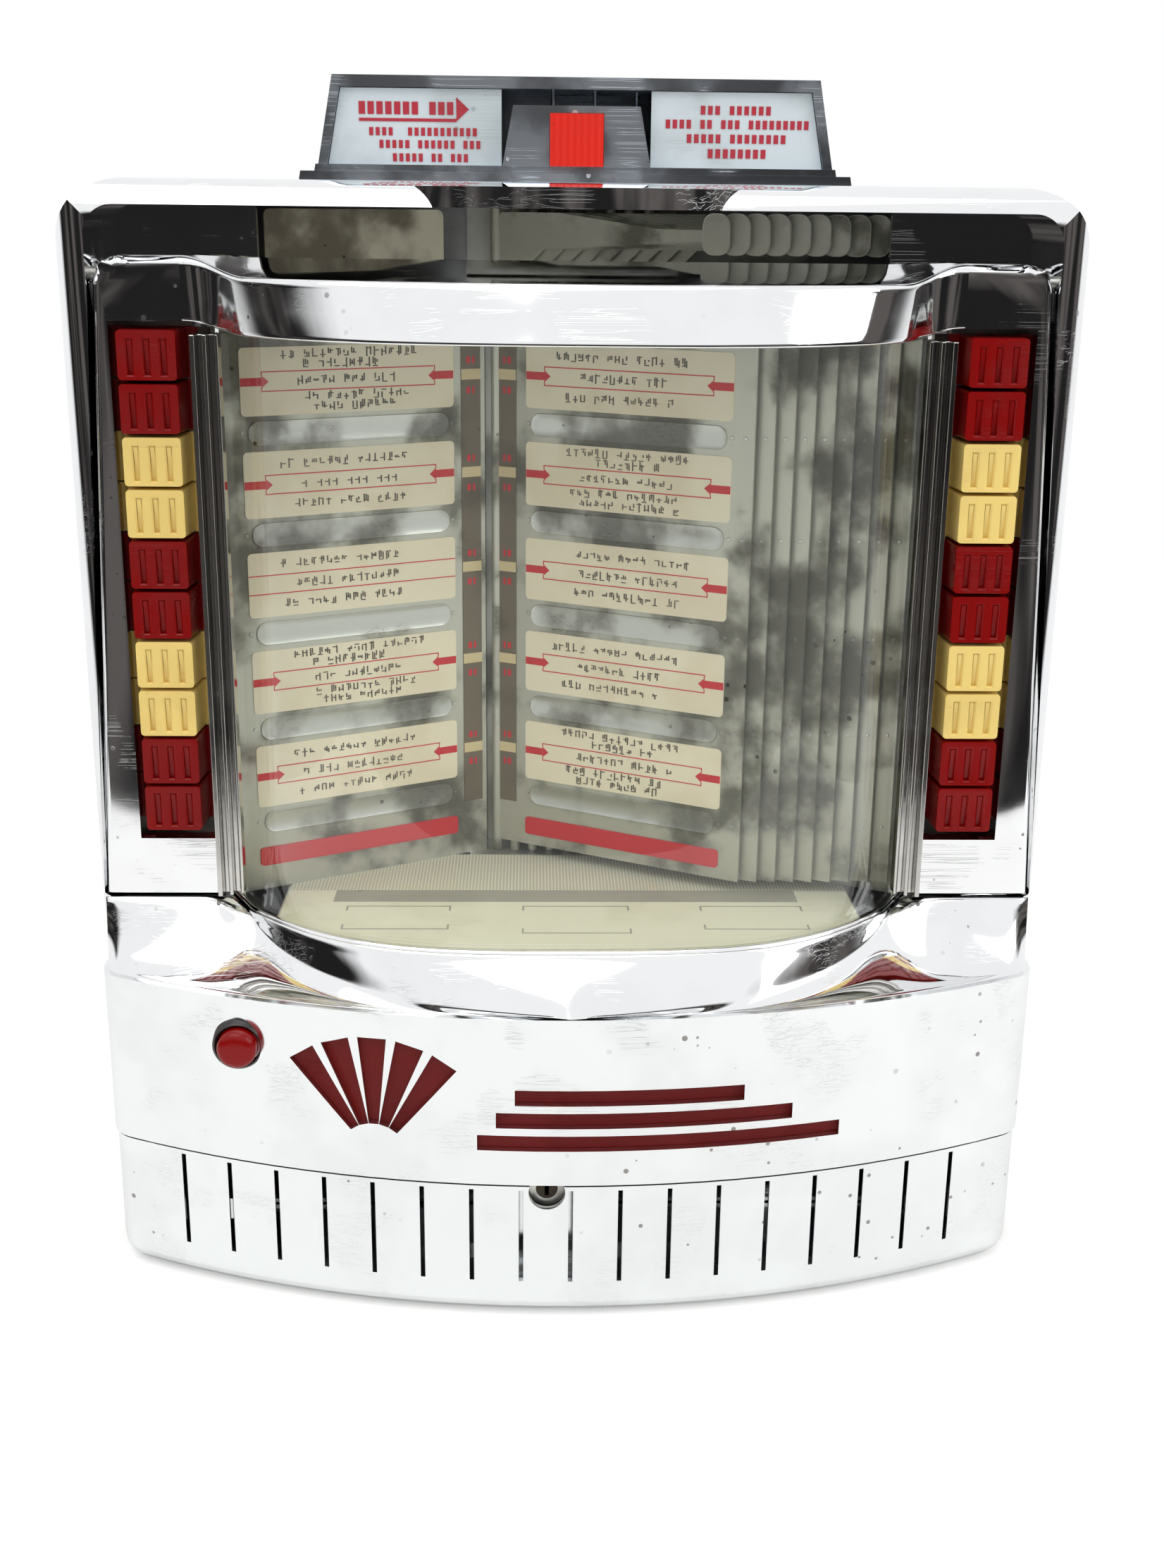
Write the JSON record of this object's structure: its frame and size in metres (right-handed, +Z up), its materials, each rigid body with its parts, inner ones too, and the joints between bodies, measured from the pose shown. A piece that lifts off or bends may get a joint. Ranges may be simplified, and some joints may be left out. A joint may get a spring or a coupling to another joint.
{
  "type": "jukebox wall box selector",
  "caption": "Chromed wall-mounted jukebox selector with a bowed glass front, swinging title pages, two button columns, a coin entry sign and a hinged front.",
  "frame": {"origin": "centre of the box's footprint, at the height of its underside", "axes": "+X to the right as the user faces the box, +Y from the user towards the wall, +Z up"},
  "size_m": [0.312, 0.176, 0.385],
  "materials": {
    "chrome_shell": "bright chrome plating with small pits",
    "back_steel": "satin dark grey paint",
    "zinc_steel": "dull zinc plating",
    "sign_metal": "polished metal edge",
    "sign_enamel": "white enamel",
    "coin_metal": "dull dark steel",
    "red_plastic": "glossy red plastic",
    "lamp_glass": "clear bulb",
    "brushed_front": "satin metal",
    "lock_metal": "worn steel",
    "leaf_metal": "satin aluminium",
    "card": "coated card",
    "brown_board": "brown laminated board",
    "chute_metal": "dull zinc plating",
    "motor_black": "black paint",
    "gland_rubber": "black rubber",
    "window_glass": "clear curved glass",
    "red_enamel": "dark red enamel",
    "brass": "worn brass",
    "cream_plastic": "glossy cream plastic"
  },
  "bodies": {
    "box": {"casing": "chrome_shell", "back_plate": "back_steel", "chassis_plate": "zinc_steel", "sign_hood": "sign_metal", "sign_windows": "sign_enamel", "coin_block": "coin_metal", "coin_insert": "red_plastic", "sign_lamp": "lamp_glass", "slot_panel": "brushed_front", "lock_barrel": "lock_metal", "hinge_pins": "zinc_steel", "page_rack": "zinc_steel", "end_pages": "leaf_metal", "card_shelf": "leaf_metal", "program_card": "card", "key_guides": "zinc_steel", "contact_banks": "brown_board", "coin_chute": "chute_metal", "cash_box": "zinc_steel", "scan_motor": "motor_black", "contact_disc": "brown_board", "cable_gland": "gland_rubber"},
    "door": {"door_frame": "chrome_shell", "window_glass": "window_glass", "glass_channels": "chrome_shell", "sill_casting": "chrome_shell", "chin_panel": "brushed_front", "ornament_inlay": "red_enamel"},
    "cancel_button": {"cancel_button": "red_plastic"},
    "lock_plug": {"lock_plug": "brass"},
    "wiper_arm": {"wiper_arm": "brass"},
    "key_left_1": {"key_left_1": "red_plastic"},
    "key_left_2": {"key_left_2": "red_plastic"},
    "key_left_3": {"key_left_3": "cream_plastic"},
    "key_left_4": {"key_left_4": "cream_plastic"},
    "key_left_5": {"key_left_5": "red_plastic"},
    "key_left_6": {"key_left_6": "red_plastic"},
    "key_left_7": {"key_left_7": "cream_plastic"},
    "key_left_8": {"key_left_8": "cream_plastic"},
    "key_left_9": {"key_left_9": "red_plastic"},
    "key_left_10": {"key_left_10": "red_plastic"},
    "key_right_1": {"key_right_1": "red_plastic"},
    "key_right_2": {"key_right_2": "red_plastic"},
    "key_right_3": {"key_right_3": "cream_plastic"},
    "key_right_4": {"key_right_4": "cream_plastic"},
    "key_right_5": {"key_right_5": "red_plastic"},
    "key_right_6": {"key_right_6": "red_plastic"},
    "key_right_7": {"key_right_7": "cream_plastic"},
    "key_right_8": {"key_right_8": "cream_plastic"},
    "key_right_9": {"key_right_9": "red_plastic"},
    "key_right_10": {"key_right_10": "red_plastic"},
    "leaf_1": {"leaf_1": "leaf_metal"},
    "leaf_2": {"leaf_2": "leaf_metal"},
    "leaf_3": {"leaf_3": "leaf_metal"},
    "leaf_4": {"leaf_4": "leaf_metal"},
    "leaf_5": {"leaf_5": "leaf_metal"},
    "leaf_6": {"leaf_6": "leaf_metal"},
    "leaf_7": {"leaf_7": "leaf_metal"},
    "leaf_8": {"leaf_8": "leaf_metal"},
    "leaf_9": {"leaf_9": "leaf_metal"}
  },
  "joints": [
    {"name": "door_hinge", "type": "hinge", "parent": "box", "child": "door", "pos_m": [0, -0.0305, 0.3275], "axis": [-1, 0, 0], "range_deg": [0, 28]},
    {"name": "cancel_push", "type": "slide", "parent": "door", "child": "cancel_button", "axis": [0, 1, 0], "range_m": [0, 0.004], "stiffness_N_per_m": 400},
    {"name": "lock_turn", "type": "hinge", "parent": "box", "child": "lock_plug", "pos_m": [-0.0077, -0.07, 0.046], "axis": [0, -1, 0], "range_deg": [0, 90]},
    {"name": "wiper_spin", "type": "hinge", "parent": "box", "child": "wiper_arm", "pos_m": [-0.084, 0.068, 0.205], "axis": [0, 1, 0], "continuous": true},
    {"name": "key_left_1_push", "type": "slide", "parent": "box", "child": "key_left_1", "axis": [0, 1, 0], "range_m": [0, 0.0045], "stiffness_N_per_m": 300},
    {"name": "key_left_2_push", "type": "slide", "parent": "box", "child": "key_left_2", "axis": [0, 1, 0], "range_m": [0, 0.0045], "stiffness_N_per_m": 300},
    {"name": "key_left_3_push", "type": "slide", "parent": "box", "child": "key_left_3", "axis": [0, 1, 0], "range_m": [0, 0.0045], "stiffness_N_per_m": 300},
    {"name": "key_left_4_push", "type": "slide", "parent": "box", "child": "key_left_4", "axis": [0, 1, 0], "range_m": [0, 0.0045], "stiffness_N_per_m": 300},
    {"name": "key_left_5_push", "type": "slide", "parent": "box", "child": "key_left_5", "axis": [0, 1, 0], "range_m": [0, 0.0045], "stiffness_N_per_m": 300},
    {"name": "key_left_6_push", "type": "slide", "parent": "box", "child": "key_left_6", "axis": [0, 1, 0], "range_m": [0, 0.0045], "stiffness_N_per_m": 300},
    {"name": "key_left_7_push", "type": "slide", "parent": "box", "child": "key_left_7", "axis": [0, 1, 0], "range_m": [0, 0.0045], "stiffness_N_per_m": 300},
    {"name": "key_left_8_push", "type": "slide", "parent": "box", "child": "key_left_8", "axis": [0, 1, 0], "range_m": [0, 0.0045], "stiffness_N_per_m": 300},
    {"name": "key_left_9_push", "type": "slide", "parent": "box", "child": "key_left_9", "axis": [0, 1, 0], "range_m": [0, 0.0045], "stiffness_N_per_m": 300},
    {"name": "key_left_10_push", "type": "slide", "parent": "box", "child": "key_left_10", "axis": [0, 1, 0], "range_m": [0, 0.0045], "stiffness_N_per_m": 300},
    {"name": "key_right_1_push", "type": "slide", "parent": "box", "child": "key_right_1", "axis": [0, 1, 0], "range_m": [0, 0.0045], "stiffness_N_per_m": 300},
    {"name": "key_right_2_push", "type": "slide", "parent": "box", "child": "key_right_2", "axis": [0, 1, 0], "range_m": [0, 0.0045], "stiffness_N_per_m": 300},
    {"name": "key_right_3_push", "type": "slide", "parent": "box", "child": "key_right_3", "axis": [0, 1, 0], "range_m": [0, 0.0045], "stiffness_N_per_m": 300},
    {"name": "key_right_4_push", "type": "slide", "parent": "box", "child": "key_right_4", "axis": [0, 1, 0], "range_m": [0, 0.0045], "stiffness_N_per_m": 300},
    {"name": "key_right_5_push", "type": "slide", "parent": "box", "child": "key_right_5", "axis": [0, 1, 0], "range_m": [0, 0.0045], "stiffness_N_per_m": 300},
    {"name": "key_right_6_push", "type": "slide", "parent": "box", "child": "key_right_6", "axis": [0, 1, 0], "range_m": [0, 0.0045], "stiffness_N_per_m": 300},
    {"name": "key_right_7_push", "type": "slide", "parent": "box", "child": "key_right_7", "axis": [0, 1, 0], "range_m": [0, 0.0045], "stiffness_N_per_m": 300},
    {"name": "key_right_8_push", "type": "slide", "parent": "box", "child": "key_right_8", "axis": [0, 1, 0], "range_m": [0, 0.0045], "stiffness_N_per_m": 300},
    {"name": "key_right_9_push", "type": "slide", "parent": "box", "child": "key_right_9", "axis": [0, 1, 0], "range_m": [0, 0.0045], "stiffness_N_per_m": 300},
    {"name": "key_right_10_push", "type": "slide", "parent": "box", "child": "key_right_10", "axis": [0, 1, 0], "range_m": [0, 0.0045], "stiffness_N_per_m": 300},
    {"name": "leaf_1_pivot", "type": "hinge", "parent": "box", "child": "leaf_1", "pos_m": [-0.0254, 0.03, 0.235], "axis": [0, 0, -1], "range_deg": [0, 123]},
    {"name": "leaf_2_pivot", "type": "hinge", "parent": "box", "child": "leaf_2", "pos_m": [-0.01905, 0.03, 0.235], "axis": [0, 0, -1], "range_deg": [0, 123]},
    {"name": "leaf_3_pivot", "type": "hinge", "parent": "box", "child": "leaf_3", "pos_m": [-0.0127, 0.03, 0.235], "axis": [0, 0, -1], "range_deg": [0, 123]},
    {"name": "leaf_4_pivot", "type": "hinge", "parent": "box", "child": "leaf_4", "pos_m": [-0.00635, 0.03, 0.235], "axis": [0, 0, -1], "range_deg": [0, 123]},
    {"name": "leaf_5_pivot", "type": "hinge", "parent": "box", "child": "leaf_5", "pos_m": [0, 0.03, 0.235], "axis": [0, 0, -1], "range_deg": [0, 123]},
    {"name": "leaf_6_pivot", "type": "hinge", "parent": "box", "child": "leaf_6", "pos_m": [0.00635, 0.03, 0.235], "axis": [0, 0, -1], "range_deg": [0, 123]},
    {"name": "leaf_7_pivot", "type": "hinge", "parent": "box", "child": "leaf_7", "pos_m": [0.0127, 0.03, 0.235], "axis": [0, 0, -1], "range_deg": [0, 123]},
    {"name": "leaf_8_pivot", "type": "hinge", "parent": "box", "child": "leaf_8", "pos_m": [0.01905, 0.03, 0.235], "axis": [0, 0, -1], "range_deg": [0, 123]},
    {"name": "leaf_9_pivot", "type": "hinge", "parent": "box", "child": "leaf_9", "pos_m": [0.0254, 0.03, 0.235], "axis": [0, 0, -1], "range_deg": [0, 123]}
  ],
  "couplings": [
    {"joint": "leaf_2_pivot", "follows": "leaf_1_pivot", "ratio": 1},
    {"joint": "leaf_3_pivot", "follows": "leaf_1_pivot", "ratio": 1},
    {"joint": "leaf_4_pivot", "follows": "leaf_1_pivot", "ratio": 1},
    {"joint": "leaf_5_pivot", "follows": "leaf_1_pivot", "ratio": 1},
    {"joint": "leaf_6_pivot", "follows": "leaf_1_pivot", "ratio": 1},
    {"joint": "leaf_7_pivot", "follows": "leaf_1_pivot", "ratio": 1},
    {"joint": "leaf_8_pivot", "follows": "leaf_1_pivot", "ratio": 1},
    {"joint": "leaf_9_pivot", "follows": "leaf_1_pivot", "ratio": 1}
  ]
}
